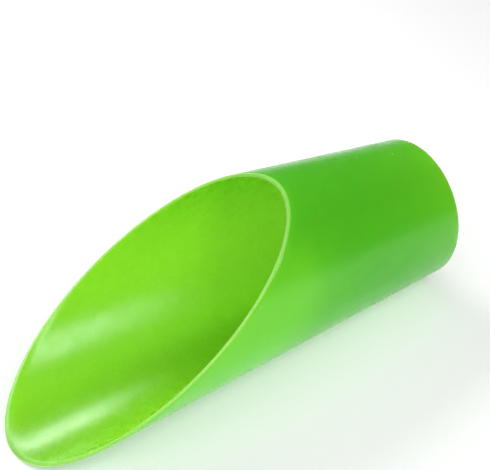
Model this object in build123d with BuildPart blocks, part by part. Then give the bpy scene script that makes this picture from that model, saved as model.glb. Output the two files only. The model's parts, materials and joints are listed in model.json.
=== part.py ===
"""Hand scoop for soil and potting mix: one thin-walled plastic moulding.

The scoop is a tapered tube, open at both ends. The narrow rear end is the grip. The wide front end
is cut off along a slanting plane, so that the upper wall stops over the grip and the lower wall runs
on as a long rounded blade.

Frame: the scoop lies on its belly, the lowest straight line of the tube, on the plane Z = 0. +Z is up,
the blade's tip points along -Y and the rear rim faces +Y. X = 0 is the plane of symmetry. The origin is
the middle of the bounding box's bottom. All sizes are in millimetres.
"""

import os
from math import atan2, cos, hypot, pi, sin, tan

from build123d import *

# Driving dimensions
length = 161.0  # rear rim to the tip, along the tube's axis, before the edges are rounded
rear_diameter = 50.0  # outside, at the rear rim
tip_diameter = 76.0  # outside of the full cone, in the plane of the tip
mouth_start = 63.0  # rear rim to the back of the mouth, along the tube's axis
wall = 1.2  # wall thickness, square to the surface
mouth_round = 0.25  # radius on both edges of the mouth's slanting rim
rear_round = 0.3  # radius on both edges of the rear rim

# The cone
rear_radius = rear_diameter / 2
tip_radius = tip_diameter / 2
taper = atan2(tip_radius - rear_radius, length)  # half-angle of the cone, in radians
belly_length = hypot(length, tip_radius - rear_radius)  # rear rim to the tip, along the belly
wall_across = wall / cos(taper)  # wall thickness, square to the axis

# The mouth's plane rises from the tip, over the belly, to the back of the mouth
mouth_radius = rear_radius + mouth_start * tan(taper)  # outside, at the back of the mouth
mouth_pitch = atan2(tip_radius + mouth_radius, length - mouth_start) - taper

# What the rounded edges take off the scoop's overall length, at the tip and at the rear rim
tip_setback = mouth_round / tan(mouth_pitch / 2) - mouth_round
rear_setback = rear_round * (cos(taper) - 1 + sin(taper) / tan((pi / 2 + taper) / 2))

# Directions and places in the scoop's frame
to_tip = Vector(0, -cos(taper), sin(taper))  # along the tube's axis
rim_up = Vector(0, sin(taper), cos(taper))  # across the rear rim, away from the belly
rear_y = (belly_length - tip_setback - rear_diameter * sin(taper) + rear_setback) / 2
rear_centre = Vector(0, rear_y, 0) + rim_up * rear_radius
tip = Vector(0, rear_y - belly_length, 0)
section_plane = Plane(origin=rear_centre, x_dir=to_tip, z_dir=(-1, 0, 0))
mouth_plane = Plane(origin=tip, x_dir=(1, 0, 0), z_dir=(0, -sin(mouth_pitch), cos(mouth_pitch)))

with BuildPart() as scoop:
    # The section of the upper wall, turned about the axis, gives the whole tapered tube
    with BuildSketch(section_plane):
        with BuildLine():
            Polyline(
                (0, rear_radius - wall_across),
                (0, rear_radius),
                (length, tip_radius),
                (length, tip_radius - wall_across),
                close=True,
            )
        make_face()
    revolve(axis=Axis(rear_centre, to_tip))

    # The slanting cut opens the mouth and leaves the blade
    split(bisect_by=mouth_plane, keep=Keep.BOTTOM)

    # The edges of the rear rim are circles, and those of the mouth's rim are ellipses
    fillet(scoop.edges().filter_by(GeomType.CIRCLE), rear_round)
    fillet(scoop.edges().filter_by(GeomType.ELLIPSE), mouth_round)
scoop.part.label = "scoop"

os.makedirs("parts", exist_ok=True)
export_step(scoop.part, "parts/scoop.step")
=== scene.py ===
"""Looks of the soil scoop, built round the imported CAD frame.

The scoop is one thin-walled moulding in bright green, slightly translucent
plastic: a tube that widens towards the blade, cut off by one slanting plane.
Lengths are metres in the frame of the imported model: the belly line lies on
Z = 0, the blade's tip points along -Y and the mouth faces up.
"""

import json
import logging
from collections.abc import Callable
from dataclasses import dataclass
from enum import Enum
from math import atan2, cos, pi, radians, sin, tan

import bmesh
import bpy
from mathutils import Euler, Matrix, Vector


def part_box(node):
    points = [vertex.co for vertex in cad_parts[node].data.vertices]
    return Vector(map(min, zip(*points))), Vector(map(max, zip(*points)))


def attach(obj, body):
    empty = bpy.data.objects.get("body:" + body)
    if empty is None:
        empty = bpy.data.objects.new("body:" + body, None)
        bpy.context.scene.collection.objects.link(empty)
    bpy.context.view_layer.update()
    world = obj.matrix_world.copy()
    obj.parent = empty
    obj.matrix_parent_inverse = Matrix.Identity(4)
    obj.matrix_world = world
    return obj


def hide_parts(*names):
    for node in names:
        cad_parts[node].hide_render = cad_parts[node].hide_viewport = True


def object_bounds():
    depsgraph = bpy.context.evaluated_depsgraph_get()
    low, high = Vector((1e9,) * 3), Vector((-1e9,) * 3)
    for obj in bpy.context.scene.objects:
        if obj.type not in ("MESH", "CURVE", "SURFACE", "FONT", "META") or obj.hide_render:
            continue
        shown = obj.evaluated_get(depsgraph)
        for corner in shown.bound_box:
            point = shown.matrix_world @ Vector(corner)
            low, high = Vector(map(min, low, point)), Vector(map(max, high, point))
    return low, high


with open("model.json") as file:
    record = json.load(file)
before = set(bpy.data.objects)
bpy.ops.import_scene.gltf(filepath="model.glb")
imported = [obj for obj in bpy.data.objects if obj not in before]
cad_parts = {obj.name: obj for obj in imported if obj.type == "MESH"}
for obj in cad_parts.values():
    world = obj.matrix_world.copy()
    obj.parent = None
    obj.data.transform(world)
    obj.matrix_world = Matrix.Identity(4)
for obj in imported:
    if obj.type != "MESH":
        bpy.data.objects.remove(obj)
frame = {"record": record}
cad_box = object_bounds()

ON_PLANE = 2e-6  # a point nearer to a plane than this lies on it
SHARP = radians(10)  # faces that meet at more than this make an edge
MM = 0.001
MICROMETRE = 1e-6

Colour = tuple[float, float, float]

log = logging.getLogger("soil_scoop")


class Side(Enum):
    """The two skins of the scoop's wall."""

    OUTER = "outer"
    INNER = "inner"


# ---------------------------------------------------------------- hand tools


def deselect_everything() -> None:
    """Leaves no object selected, the CAD nodes included."""
    bpy.ops.object.select_all(action="DESELECT")


def take_in_hand(obj: bpy.types.Object) -> None:
    """Makes one object the only selected one and the active one.

    Args:
        obj: the object to work on.
    """
    deselect_everything()
    obj.select_set(True)
    bpy.context.view_layer.objects.active = obj


def select_edges(
    obj: bpy.types.Object, wanted: Callable[[bmesh.types.BMEdge], bool]
) -> None:
    """Selects some edges of the object in edit mode and nothing else.

    Args:
        obj: the object, in edit mode.
        wanted: says whether an edge is to be selected.
    """
    bpy.ops.mesh.select_mode(type="EDGE")
    bpy.ops.mesh.select_all(action="DESELECT")
    shape = bmesh.from_edit_mesh(obj.data)
    for edge in [edge for edge in shape.edges if wanted(edge)]:
        edge.select_set(True)
    bmesh.update_edit_mesh(obj.data)


def apply_modifiers(obj: bpy.types.Object) -> None:
    """Applies every modifier of an object, in order.

    Args:
        obj: the object.
    """
    take_in_hand(obj)
    for modifier in list(obj.modifiers):
        bpy.ops.object.modifier_apply(modifier=modifier.name)


# ------------------------------------------------------------------ the shell


@dataclass
class ScoopShell:
    """The moulding: two coaxial cones, one wall apart, cut at the mouth."""

    rear_rim: dict  # the flat ring at the rear, as the record's mount gives it
    mouth_rim: dict  # the flat oval rim of the mouth, likewise
    floor_height: float
    length: float = 161.0 * MM
    rear_radius: float = 25.0 * MM
    tip_radius: float = 38.0 * MM
    wall: float = 1.2 * MM
    mouth_round: float = 0.25 * MM
    rear_round: float = 0.3 * MM
    generators: int = 256  # straight lines along each skin
    rings: int = 40  # cuts across each of them
    round_segments: int = 6
    knife_profile: float = 0.36  # nearer a chamfer, for the blade's acute edge
    ring_profile: float = 0.5  # a quarter circle, for the rear rim
    overshoot: float = 1.04  # the cones start longer, and the mouth cuts them

    @property
    def taper(self) -> float:
        """Half the cone's angle."""
        return atan2(self.tip_radius - self.rear_radius, self.length)

    @property
    def wall_across(self) -> float:
        """The wall measured across the axis."""
        return self.wall / cos(self.taper)

    @property
    def to_tip(self) -> Vector:
        """The axis, from the rear rim to the tip."""
        return -Vector(self.rear_rim["axis"]).normalized()

    @property
    def rear_centre(self) -> Vector:
        """The middle of the rear rim."""
        up = Vector((0.0, self.to_tip.z, -self.to_tip.y))
        mid_wall = self.rear_radius - self.wall_across / 2
        centre = Vector(self.rear_rim["pos_m"]) + up * mid_wall
        centre.z = self.floor_height + self.rear_radius * cos(self.taper)
        return centre

    @property
    def mouth_point(self) -> Vector:
        """A point of the mouth's plane."""
        return Vector(self.mouth_rim["pos_m"])

    @property
    def mouth_normal(self) -> Vector:
        """The mouth's plane faces this way, out of the scoop."""
        return Vector(self.mouth_rim["axis"]).normalized()

    def cone_turn(self) -> Euler:
        """The turn that lays a cone's own Z along the scoop's axis."""
        return Euler((pi / 2 - self.taper, 0.0, 0.0))

    def start_radius(self, side: Side) -> float:
        """The radius of one skin at the rear rim.

        Args:
            side: the skin.

        Returns:
            Its radius.
        """
        inward = self.wall_across if side is Side.INNER else 0.0
        return self.rear_radius - inward

    def on_mouth(self, point: Vector) -> bool:
        """Whether a point lies in the mouth's plane."""
        return abs((point - self.mouth_point).dot(self.mouth_normal)) < ON_PLANE

    def on_rear(self, point: Vector) -> bool:
        """Whether a point lies in the rear rim's plane."""
        return abs((point - self.rear_centre).dot(self.to_tip)) < ON_PLANE

    def cone(self, side: Side) -> bpy.types.Object:
        """Makes one skin: a cone cut by the mouth's plane, in even rings.

        Args:
            side: the skin.

        Returns:
            The open skin, with its place in its mesh.
        """
        depth = self.length * self.overshoot
        start = self.start_radius(side)
        deselect_everything()
        bpy.ops.mesh.primitive_cone_add(
            vertices=self.generators,
            radius1=start,
            radius2=start + depth * tan(self.taper),
            depth=depth,
            end_fill_type="NOTHING",
            location=self.rear_centre + self.to_tip * depth / 2,
            rotation=self.cone_turn(),
        )
        skin = bpy.context.object
        skin.name = f"scoop_{side.value}_skin"
        bpy.ops.object.transform_apply(location=True, rotation=True, scale=True)
        bpy.ops.object.mode_set(mode="EDIT")
        bpy.ops.mesh.select_all(action="SELECT")
        bpy.ops.mesh.bisect(
            plane_co=self.mouth_point, plane_no=self.mouth_normal, clear_outer=True
        )
        select_edges(
            skin,
            lambda edge: self.on_rear(edge.verts[0].co)
            != self.on_rear(edge.verts[1].co),
        )
        bpy.ops.mesh.subdivide(number_cuts=self.rings)
        if side is Side.INNER:
            bpy.ops.mesh.select_all(action="SELECT")
            bpy.ops.mesh.flip_normals()
        bpy.ops.object.mode_set(mode="OBJECT")
        return skin

    def close_rims(self, shell: bpy.types.Object) -> None:
        """Bridges the two skins along the mouth and along the rear rim.

        Args:
            shell: both skins in one mesh.
        """
        take_in_hand(shell)
        bpy.ops.object.mode_set(mode="EDIT")
        for on_plane in (self.on_mouth, self.on_rear):
            select_edges(
                shell,
                lambda edge, on_plane=on_plane: edge.is_boundary
                and all(on_plane(vert.co) for vert in edge.verts),
            )
            bpy.ops.mesh.bridge_edge_loops()
        bpy.ops.object.mode_set(mode="OBJECT")

    def mark_rounding(
        self,
        shell: bpy.types.Object,
        name: str,
        on_plane: Callable[[Vector], bool],
        radius: float,
    ) -> float:
        """Marks the two edges of a rim with how wide their rounding is.

        The wall meets the mouth's plane at an angle that changes round the
        rim, so the width changes with it, as it does when a ball of one
        radius rolls along the edge.

        Args:
            shell: the closed shell with sharp rims.
            name: the name of the edges' weights.
            on_plane: says whether a point lies in the rim's plane.
            radius: the rounding's radius.

        Returns:
            The greatest width, which has the weight 1.
        """
        shape = bmesh.new()
        shape.from_mesh(shell.data)
        widths = [0.0] * len(shape.edges)
        for edge in shape.edges:
            angle = edge.calc_face_angle(0.0)
            if angle > SHARP and all(on_plane(vert.co) for vert in edge.verts):
                widths[edge.index] = radius * tan(angle / 2)
        shape.free()
        widest = max(widths)
        weights = shell.data.attributes.new(name, "FLOAT", "EDGE")
        weights.data.foreach_set("value", [width / widest for width in widths])
        return widest

    def round_rims(self, shell: bpy.types.Object) -> None:
        """Rounds the four rim edges, each to its own radius all the way.

        Args:
            shell: the closed shell with sharp rims.
        """
        take_in_hand(shell)
        rims = (
            ("mouth_rounding", self.on_mouth, self.mouth_round, self.knife_profile),
            ("rear_rounding", self.on_rear, self.rear_round, self.ring_profile),
        )
        for name, on_plane, radius, profile in rims:
            bevel = shell.modifiers.new(name, "BEVEL")
            bevel.width = self.mark_rounding(shell, name, on_plane, radius)
            bevel.limit_method = "WEIGHT"
            bevel.edge_weight = name
            bevel.offset_type = "OFFSET"
            bevel.segments = self.round_segments
            bevel.profile = profile
            bevel.use_clamp_overlap = False
        normals = shell.modifiers.new("face_normals", "WEIGHTED_NORMAL")
        normals.mode = "FACE_AREA"
        apply_modifiers(shell)

    def build(self, finish: "SatinPlastic") -> bpy.types.Object:
        """Models the shell and gives it its plastic.

        Args:
            finish: the plastic.

        Returns:
            The finished piece.
        """
        inner = self.cone(Side.INNER)
        outer = self.cone(Side.OUTER)
        take_in_hand(outer)
        inner.select_set(True)
        bpy.ops.object.join()
        shell = bpy.context.object
        shell.name = shell.data.name = "scoop_shell"
        self.close_rims(shell)
        self.round_rims(shell)
        take_in_hand(shell)
        bpy.ops.object.shade_smooth()
        shell.data.materials.clear()
        shell.data.materials.append(finish.material(self))
        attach(shell, "root")
        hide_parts("scoop")
        return shell


# ----------------------------------------------------------------- the plastic


class NodeBench:
    """Lays out and joins the nodes of one material."""

    def __init__(self, material: bpy.types.Material) -> None:
        """Clears a material's nodes.

        Args:
            material: the material to fill.
        """
        material.use_nodes = True
        self.tree = material.node_tree
        self.tree.nodes.clear()

    def add(self, kind: str, label: str, **settings: object) -> bpy.types.Node:
        """Adds one node.

        Args:
            kind: its type, without the ShaderNode in front.
            label: what it does.
            settings: its properties by name.

        Returns:
            The node.
        """
        node = self.tree.nodes.new("ShaderNode" + kind)
        node.label = label
        for name, value in settings.items():
            setattr(node, name, value)
        return node

    def feed(self, target: bpy.types.NodeSocket, source: object) -> None:
        """Links a socket to a source, or sets it to a plain value.

        Args:
            target: the input socket.
            source: another node's output socket, a number or a colour.
        """
        if isinstance(source, bpy.types.NodeSocket):
            self.tree.links.new(source, target)
        else:
            target.default_value = source

    def sum(self, operation: str, label: str, *terms: object) -> bpy.types.NodeSocket:
        """Works out a sum, product or other operation on numbers.

        Args:
            operation: the Math node's operation.
            label: what the result is.
            terms: sockets or numbers.

        Returns:
            The result's socket.
        """
        node = self.add("Math", label, operation=operation)
        for target, term in zip(node.inputs, terms):
            self.feed(target, term)
        return node.outputs[0]

    def ramp(
        self, label: str, value: bpy.types.NodeSocket, start: float, end: float
    ) -> bpy.types.NodeSocket:
        """Turns a value into a smooth 0 to 1 between two marks.

        Args:
            label: what the result is.
            value: the value.
            start: where the result is 0.
            end: where the result is 1.

        Returns:
            The result's socket.
        """
        node = self.add("MapRange", label, interpolation_type="SMOOTHSTEP")
        self.feed(node.inputs["Value"], value)
        node.inputs["From Min"].default_value = start
        node.inputs["From Max"].default_value = end
        return node.outputs["Result"]

    def blend(
        self, label: str, share: object, first: object, second: object
    ) -> bpy.types.NodeSocket:
        """Mixes two colours.

        Args:
            label: what the result is.
            share: how much of the second colour.
            first: the first colour.
            second: the second colour.

        Returns:
            The mixed colour's socket.
        """
        node = self.add("Mix", label, data_type="RGBA")
        self.feed(node.inputs["Factor"], share)
        for target, colour in zip((node.inputs[6], node.inputs[7]), (first, second)):
            if isinstance(colour, tuple):
                colour = (*colour, 1.0)
            self.feed(target, colour)
        return node.outputs[2]

    def noise(
        self, label: str, where: bpy.types.NodeSocket, size: float, detail: float = 2.0
    ) -> bpy.types.NodeSocket:
        """A noise of patches about a given size across.

        Args:
            label: what it stands for.
            where: the coordinates.
            size: the patches' size.
            detail: the octaves.

        Returns:
            The noise's value.
        """
        node = self.add("TexNoise", label)
        self.feed(node.inputs["Vector"], where)
        node.inputs["Scale"].default_value = 1.0 / size
        node.inputs["Detail"].default_value = detail
        return node.outputs[0]


@dataclass(frozen=True)
class SatinPlastic:
    """Bright green, slightly translucent plastic with a satin grain, with painted light on
    the inner skin and a painted glow on the rim.

    Heights are micrometres, and every other size is in metres.
    """

    name: str = "scoop_green_plastic"
    outside: Colour = (0.063, 0.55, 0.009)
    # painted light: the inner skin is lighter and yellower than the outer one, as if lit
    # by light shining through the wall
    inside: Colour = (0.215, 0.66, 0.010)
    # painted glow: a paler green on the mouth's rim, as if lit by light carried along the
    # wall to its edge
    rim: Colour = (0.22, 0.72, 0.06)
    rim_glow_fade: tuple[float, float] = (0.3 * MM, 0.05 * MM)  # how far under the mouth's plane the painted rim glow fades out
    pigment_patch: float = 30.0 * MM
    pigment_dimming: float = 0.9
    refraction: float = 1.47
    gloss_roughness: float = 0.27
    more_gloss: float = 0.09
    less_gloss: float = 0.07
    polish_patch: float = 6.0 * MM
    polish_range: tuple[float, float] = (0.3, 1.05)
    speck_share: float = 0.5
    scatter_depth: float = 1.0 * MM
    scatter_reach: Colour = (0.72, 4.2, 0.3)
    grain: float = 0.7 * MM
    grain_height: float = 5.0
    grain_outside: float = 0.3  # the outer skin's share of the grain
    turning_pitch: float = 1.0 * MM
    turning_height: float = 38.0
    worn_patch: float = 14.0 * MM
    drag_width: float = 0.8 * MM
    drag_draw: float = 0.03  # the drag marks are this much shorter than they run
    drag_height: float = 10.0

    def material(self, shell: ScoopShell) -> bpy.types.Material:
        """Makes the plastic's material, laid out on the scoop's own axis.

        Args:
            shell: the shell whose axis, wall and mouth the patterns follow.

        Returns:
            The material.
        """
        material = bpy.data.materials.new(self.name)
        bench = NodeBench(material)
        place = bench.add("TexCoord", "place on the scoop").outputs["Object"]
        turned = bench.add("Mapping", "scoop axis along Z", vector_type="TEXTURE")
        bench.feed(turned.inputs["Vector"], place)
        turned.inputs["Location"].default_value = shell.rear_centre
        turned.inputs["Rotation"].default_value = shell.cone_turn()
        axis = turned.outputs[0]
        parts = bench.add("SeparateXYZ", "across and along")
        bench.feed(parts.inputs[0], axis)

        outer = self.outer_share(bench, parts, shell)
        inner = bench.sum("SUBTRACT", "inner skin", 1.0, outer)
        rim = self.rim_glow_share(bench, place, shell)
        colour = self.colour(bench, axis, outer, rim)
        roughness = self.roughness(bench, axis, inner)
        rings = self.turning_marks(bench, axis, parts.outputs["Z"], outer)
        height = self.relief(bench, axis, inner, rings)
        bump = bench.add("Bump", "grain and marks")
        bump.inputs["Distance"].default_value = MICROMETRE
        bench.feed(bump.inputs["Height"], height)

        shader = bench.add(
            "BsdfPrincipled", "plastic", subsurface_method="RANDOM_WALK_SKIN"
        )
        bench.feed(shader.inputs["Base Color"], colour)
        bench.feed(shader.inputs["Roughness"], roughness)
        bench.feed(shader.inputs["Normal"], bump.outputs[0])
        shader.inputs["IOR"].default_value = self.refraction
        shader.inputs["Subsurface Weight"].default_value = 1.0
        shader.inputs["Subsurface Scale"].default_value = self.scatter_depth
        shader.inputs["Subsurface Radius"].default_value = self.scatter_reach
        out = bench.add("OutputMaterial", "surface")
        bench.feed(out.inputs["Surface"], shader.outputs[0])
        return material

    def colour(
        self,
        bench: NodeBench,
        axis: bpy.types.NodeSocket,
        outer: bpy.types.NodeSocket,
        rim: bpy.types.NodeSocket,
    ) -> bpy.types.NodeSocket:
        """Colours the two skins and the rim, with pigment a little uneven. The inner
        skin's yellower, lighter green is painted light that shines through the wall, and
        the rim's paler green is a painted glow along the edge.

        Args:
            bench: the material's bench.
            axis: the coordinates on the scoop's axis.
            outer: the outer skin's share.
            rim: the share of the painted rim glow.

        Returns:
            The colour's socket.
        """
        cloud = bench.noise("uneven pigment", axis, self.pigment_patch, 3.0)
        # painted light: the inner skin takes the lighter, yellower green of light shining
        # through the wall
        skin = bench.blend("inside to outside", outer, self.inside, self.outside)
        deeper = bench.add("HueSaturation", "deeper patches")
        deeper.inputs["Value"].default_value = self.pigment_dimming
        bench.feed(deeper.inputs["Color"], skin)
        uneven = bench.blend("pigment", cloud, skin, deeper.outputs[0])
        # painted glow on the mouth's rim
        return bench.blend("lit rim", rim, uneven, self.rim)

    def roughness(
        self,
        bench: NodeBench,
        axis: bpy.types.NodeSocket,
        inner: bpy.types.NodeSocket,
    ) -> bpy.types.NodeSocket:
        """Varies the polish in patches, and in fine specks inside.

        Args:
            bench: the material's bench.
            axis: the coordinates on the scoop's axis.
            inner: the inner skin's share.

        Returns:
            The roughness's socket.
        """
        smear = bench.noise("polish", axis, self.polish_patch, 4.0)
        grain = bench.noise("grain", axis, self.grain, 1.0)
        specks = bench.sum("MULTIPLY", "specks inside", grain, inner)
        both = bench.sum(
            "MULTIPLY_ADD", "polish and specks", specks, self.speck_share, smear
        )
        rough = bench.add("MapRange", "roughness")
        bench.feed(rough.inputs["Value"], both)
        low, high = self.polish_range
        rough.inputs["From Min"].default_value = low
        rough.inputs["From Max"].default_value = high
        rough.inputs["To Min"].default_value = self.gloss_roughness - self.more_gloss
        rough.inputs["To Max"].default_value = self.gloss_roughness + self.less_gloss
        return rough.outputs["Result"]

    def outer_share(
        self, bench: NodeBench, parts: bpy.types.Node, shell: ScoopShell
    ) -> bpy.types.NodeSocket:
        """Is 1 on the outer skin and 0 on the inner one.

        Args:
            bench: the material's bench.
            parts: the node that holds the place along and across the axis.
            shell: the shell.

        Returns:
            The share's socket.
        """
        square_x = bench.sum("POWER", "x squared", parts.outputs["X"], 2.0)
        square_y = bench.sum("POWER", "y squared", parts.outputs["Y"], 2.0)
        square = bench.sum("ADD", "radius squared", square_x, square_y)
        radius = bench.sum("SQRT", "radius", square)
        widening = bench.sum(
            "MULTIPLY", "widening", parts.outputs["Z"], tan(shell.taper)
        )
        start = bench.sum("SUBTRACT", "radius at the rear", radius, widening)
        inner = shell.start_radius(Side.INNER)
        quarter = shell.wall_across / 4
        return bench.ramp(
            "outer skin", start, inner + quarter, shell.rear_radius - quarter
        )

    def rim_glow_share(
        self, bench: NodeBench, place: bpy.types.NodeSocket, shell: ScoopShell
    ) -> bpy.types.NodeSocket:
        """Is 1 on the mouth's rim, where a glow is painted, and fades out just below it.

        Args:
            bench: the material's bench.
            place: the object coordinates.
            shell: the shell.

        Returns:
            The share's socket.
        """
        height = bench.add("VectorMath", "along the normal", operation="DOT_PRODUCT")
        bench.feed(height.inputs[0], place)
        height.inputs[1].default_value = shell.mouth_normal
        level = shell.mouth_point.dot(shell.mouth_normal)
        start, end = (level - depth for depth in self.rim_glow_fade)
        return bench.ramp("rim band", height.outputs["Value"], start, end)

    def turning_marks(
        self,
        bench: NodeBench,
        axis: bpy.types.NodeSocket,
        along: bpy.types.NodeSocket,
        outer: bpy.types.NodeSocket,
    ) -> bpy.types.NodeSocket:
        """Rings round the outer skin, stronger in some places than in others.

        Args:
            bench: the material's bench.
            axis: the coordinates on the scoop's axis.
            along: the distance from the rear rim.
            outer: the outer skin's share.

        Returns:
            The rings' height.
        """
        angle = bench.sum("MULTIPLY", "turns", along, 2 * pi / self.turning_pitch)
        wave = bench.sum("SINE", "turning marks", angle)
        worn = bench.noise("worn marks", axis, self.worn_patch, 1.0)
        faint = bench.sum("MULTIPLY", "marks here and there", wave, worn)
        marks = bench.sum("MULTIPLY", "turning height", faint, self.turning_height)
        return bench.sum("MULTIPLY", "marks outside", marks, outer)

    def relief(
        self,
        bench: NodeBench,
        axis: bpy.types.NodeSocket,
        inner: bpy.types.NodeSocket,
        rings: bpy.types.NodeSocket,
    ) -> bpy.types.NodeSocket:
        """Adds up the grain, the rings and the drag marks inside.

        Args:
            bench: the material's bench.
            axis: the coordinates on the scoop's axis.
            inner: the inner skin's share.
            rings: the turning marks' height.

        Returns:
            The height's socket.
        """
        grain = bench.noise("satin grain", axis, self.grain, 3.0)
        rise = bench.sum("MULTIPLY", "grain height", grain, self.grain_height)
        share = bench.sum(
            "MULTIPLY_ADD",
            "grain of this skin",
            inner,
            1.0 - self.grain_outside,
            self.grain_outside,
        )
        fine = bench.sum("MULTIPLY", "grain", rise, share)
        stretch = bench.add("Mapping", "drawn out along the axis")
        stretch.inputs["Scale"].default_value = (1.0, 1.0, self.drag_draw)
        bench.feed(stretch.inputs["Vector"], axis)
        drag = bench.noise("drag marks", stretch.outputs[0], self.drag_width)
        drawn = bench.sum("MULTIPLY", "drag height", drag, self.drag_height)
        lines = bench.sum("MULTIPLY", "marks inside", drawn, inner)
        marks = bench.sum("ADD", "marks", rings, lines)
        return bench.sum("ADD", "relief", fine, marks)


# ------------------------------------------------------------------ the studio


@dataclass(frozen=True)
class SoftBox:
    """A rectangular soft white light that points at the scoop."""

    name: str
    azimuth: float  # degrees from the blade's side, towards +X
    elevation: float  # degrees over the floor
    distance: float
    size: tuple[float, float]
    power: float

    def place(self, aim: Vector) -> bpy.types.Object:
        """Hangs the light.

        Args:
            aim: the point it faces.

        Returns:
            The light.
        """
        turn, rise = radians(self.azimuth), radians(self.elevation)
        back = Vector((sin(turn) * cos(rise), -cos(turn) * cos(rise), sin(rise)))
        deselect_everything()
        bpy.ops.object.light_add(type="AREA", location=aim + back * self.distance)
        lamp = bpy.context.object
        lamp.name = lamp.data.name = self.name
        lamp.rotation_euler = back.to_track_quat("Z", "Y").to_euler()
        lamp.data.shape = "RECTANGLE"
        lamp.data.size, lamp.data.size_y = self.size
        lamp.data.energy = self.power
        lamp.visible_camera = False
        return lamp


@dataclass
class Studio:
    """The floor, the lights and the camera."""

    floor_size: float = 6.0
    floor_cuts: int = 8
    floor_colour: Colour = (0.86, 0.86, 0.86)
    floor_dimming: float = 0.98
    floor_patch: float = 0.25
    floor_roughness: float = 0.9
    table_glow: float = 0.32
    sky: Colour = (1.0, 1.0, 1.0)
    sky_strength: float = 0.13
    aim: tuple[float, float, float] = (-0.030357, 0.029122, 0.018225)
    camera_place: tuple[float, float, float] = (0.273506, -0.183863, 0.272791)
    camera_up: tuple[float, float, float] = (-0.442922, 0.353083, 0.824107)
    lens: float = 91.83
    sensor_width: float = 36.0
    sight: tuple[float, float] = (0.01, 30.0)  # the nearest and farthest it sees
    boxes: tuple[SoftBox, ...] = (
        SoftBox("left_key", -100.0, 41.0, 0.42, (0.10, 0.15), 0.58),
        SoftBox("right_key", 100.0, 44.0, 0.38, (0.08, 0.16), 0.47),
        SoftBox("front", 34.0, 47.0, 1.1, (1.2, 0.9), 4.8),
        SoftBox("left", -78.0, 37.0, 1.1, (0.7, 0.5), 3.6),
    )

    def build(self) -> None:
        """Sets up everything that isn't part of the scoop."""
        self.set_camera()
        self.lay_floor()
        self.light()

    def set_camera(self) -> None:
        """Puts the camera where it frames the scoop."""
        deselect_everything()
        bpy.ops.object.camera_add(location=self.camera_place)
        camera = bpy.context.object
        camera.name = "camera"
        back = (Vector(self.camera_place) - Vector(self.aim)).normalized()
        right = Vector(self.camera_up).cross(back).normalized()
        up = back.cross(right)
        turn = Matrix((right, up, back)).transposed()
        camera.rotation_euler = turn.to_euler()
        camera.data.sensor_width = self.sensor_width
        camera.data.lens = self.lens
        camera.data.clip_start, camera.data.clip_end = self.sight
        bpy.context.scene.camera = camera

    def lay_floor(self) -> None:
        """Lays a pale matt floor, lit softly from within, under the scoop."""
        deselect_everything()
        bpy.ops.mesh.primitive_plane_add(size=self.floor_size)
        floor = bpy.context.object
        floor.name = floor.data.name = "studio_floor"
        bpy.ops.object.mode_set(mode="EDIT")
        bpy.ops.mesh.select_all(action="SELECT")
        bpy.ops.mesh.subdivide(number_cuts=self.floor_cuts)
        bpy.ops.object.mode_set(mode="OBJECT")
        material = bpy.data.materials.new("pale_floor")
        bench = NodeBench(material)
        place = bench.add("TexCoord", "place on the floor").outputs["Object"]
        mottle = bench.noise("mottle", place, self.floor_patch)
        darker = tuple(part * self.floor_dimming for part in self.floor_colour)
        colour = bench.blend("paper", mottle, self.floor_colour, darker)
        shader = bench.add("BsdfPrincipled", "paper")
        bench.feed(shader.inputs["Base Color"], colour)
        shader.inputs["Roughness"].default_value = self.floor_roughness
        shader.inputs["Emission Color"].default_value = (1.0, 1.0, 1.0, 1.0)
        shader.inputs["Emission Strength"].default_value = self.table_glow
        out = bench.add("OutputMaterial", "surface")
        bench.feed(out.inputs["Surface"], shader.outputs[0])
        floor.data.materials.append(material)

    def light(self) -> None:
        """Hangs the soft boxes and lights the room."""
        middle = (cad_box[0] + cad_box[1]) / 2
        for box in self.boxes:
            box.place(middle)
        world = bpy.data.worlds.new("studio_world")
        bpy.context.scene.world = world
        world.use_nodes = True
        sky = world.node_tree.nodes["Background"]
        sky.inputs["Color"].default_value = (*self.sky, 1.0)
        sky.inputs["Strength"].default_value = self.sky_strength
        bpy.context.scene.view_settings.view_transform = "Standard"


# ------------------------------------------------------------------------ main


def check_closed(piece: bpy.types.Object) -> None:
    """Stops the script if a piece's skin has a gap or a turned face.

    Args:
        piece: the finished piece.
    """
    shape = bmesh.new()
    shape.from_mesh(piece.data)
    gaps = sum(not edge.is_contiguous for edge in shape.edges)
    volume = shape.calc_volume(signed=True)
    shape.free()
    if gaps or volume <= 0:
        raise ValueError(f"{piece.name}: {gaps} open edges, volume {volume}")
    log.info("%s: closed, %.2f cm3", piece.name, volume * 1e6)


def main() -> None:
    """Builds the studio and the scoop."""
    logging.basicConfig(level=logging.INFO, format="%(name)s: %(message)s")
    Studio().build()
    mounts = {mount["name"]: mount for mount in frame["record"]["mounts"]}
    low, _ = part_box("scoop")
    shell = ScoopShell(
        rear_rim=mounts["rear_rim"],
        mouth_rim=mounts["mouth_rim"],
        floor_height=low[2],
    )
    piece = shell.build(SatinPlastic())
    log.info("%s: %d faces", piece.name, len(piece.data.polygons))
    check_closed(piece)


if __name__ == "__main__":
    main()
